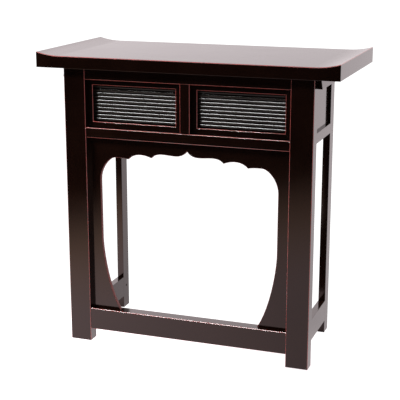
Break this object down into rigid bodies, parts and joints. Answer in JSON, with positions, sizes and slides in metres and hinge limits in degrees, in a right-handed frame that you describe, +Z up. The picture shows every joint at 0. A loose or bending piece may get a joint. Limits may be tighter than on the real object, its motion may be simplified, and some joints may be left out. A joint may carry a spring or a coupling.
{
  "type": "folding incense table",
  "caption": "Small lacquered table with upturned ends, reeded panels and a cusped opening; its side frames fold in and its top lifts off.",
  "frame": {"origin": "on the floor under the middle of the top board", "axes": "+Z up, front towards -Y, the user's right at the front is +X"},
  "size_m": [0.757, 0.376, 0.7454],
  "materials": {
    "lacquer": "polished dark brown-black lacquer on wood, with red lacquer along the arrises",
    "reeds": "satin dark brown lacquer on half-round reeds",
    "bare_wood": "unfinished hardwood dowel",
    "brass": "plain brass butt hinges and their screws",
    "steel": "plain steel pins and screws"
  },
  "bodies": {
    "front_frame": {"left_front_leg": "lacquer", "right_front_leg": "lacquer", "upper_rail": "lacquer", "middle_rail": "lacquer", "bottom_rail": "lacquer", "centre_stile": "lacquer", "left_panel_top_strip": "lacquer", "left_panel_bottom_strip": "lacquer", "left_panel_outer_strip": "lacquer", "left_panel_inner_strip": "lacquer", "left_reeds": "reeds", "left_backing_board": "lacquer", "left_wing_board": "lacquer", "left_upper_hinge_fixed_leaf": "brass", "left_lower_hinge_fixed_leaf": "brass", "left_upper_hinge_pin": "steel", "left_lower_hinge_pin": "steel", "left_leg_hinge_screws": "brass", "right_panel_top_strip": "lacquer", "right_panel_bottom_strip": "lacquer", "right_panel_outer_strip": "lacquer", "right_panel_inner_strip": "lacquer", "right_reeds": "reeds", "right_backing_board": "lacquer", "right_wing_board": "lacquer", "right_upper_hinge_fixed_leaf": "brass", "right_lower_hinge_fixed_leaf": "brass", "right_upper_hinge_pin": "steel", "right_lower_hinge_pin": "steel", "right_leg_hinge_screws": "brass", "cusped_apron": "lacquer", "top_dowels": "bare_wood"},
    "left_side_frame": {"left_front_stile": "lacquer", "left_rear_leg": "lacquer", "left_side_top_rail": "lacquer", "left_side_middle_rail": "lacquer", "left_side_stretcher": "lacquer", "left_infill_panel": "lacquer", "left_upper_hinge_moving_leaf": "brass", "left_lower_hinge_moving_leaf": "brass", "left_frame_hinge_screws": "brass", "left_stretcher_peg": "lacquer"},
    "right_side_frame": {"right_front_stile": "lacquer", "right_rear_leg": "lacquer", "right_side_top_rail": "lacquer", "right_side_middle_rail": "lacquer", "right_side_stretcher": "lacquer", "right_infill_panel": "lacquer", "right_upper_hinge_moving_leaf": "brass", "right_lower_hinge_moving_leaf": "brass", "right_frame_hinge_screws": "brass", "right_stretcher_peg": "lacquer"},
    "top": {"top_board": "lacquer", "left_batten": "lacquer", "right_batten": "lacquer", "batten_screws": "steel"}
  },
  "joints": [
    {"name": "left_side_fold", "type": "hinge", "parent": "front_frame", "child": "left_side_frame", "pos_m": [-0.2752, -0.1317, 0.35], "axis": [0, 0, -1], "range_deg": [0, 90]},
    {"name": "right_side_fold", "type": "hinge", "parent": "front_frame", "child": "right_side_frame", "pos_m": [0.2752, -0.1317, 0.35], "axis": [0, 0, 1], "range_deg": [0, 90]},
    {"name": "top_lift", "type": "slide", "parent": "front_frame", "child": "top", "axis": [0, 0, 1], "range_m": [0, 0.06]}
  ]
}
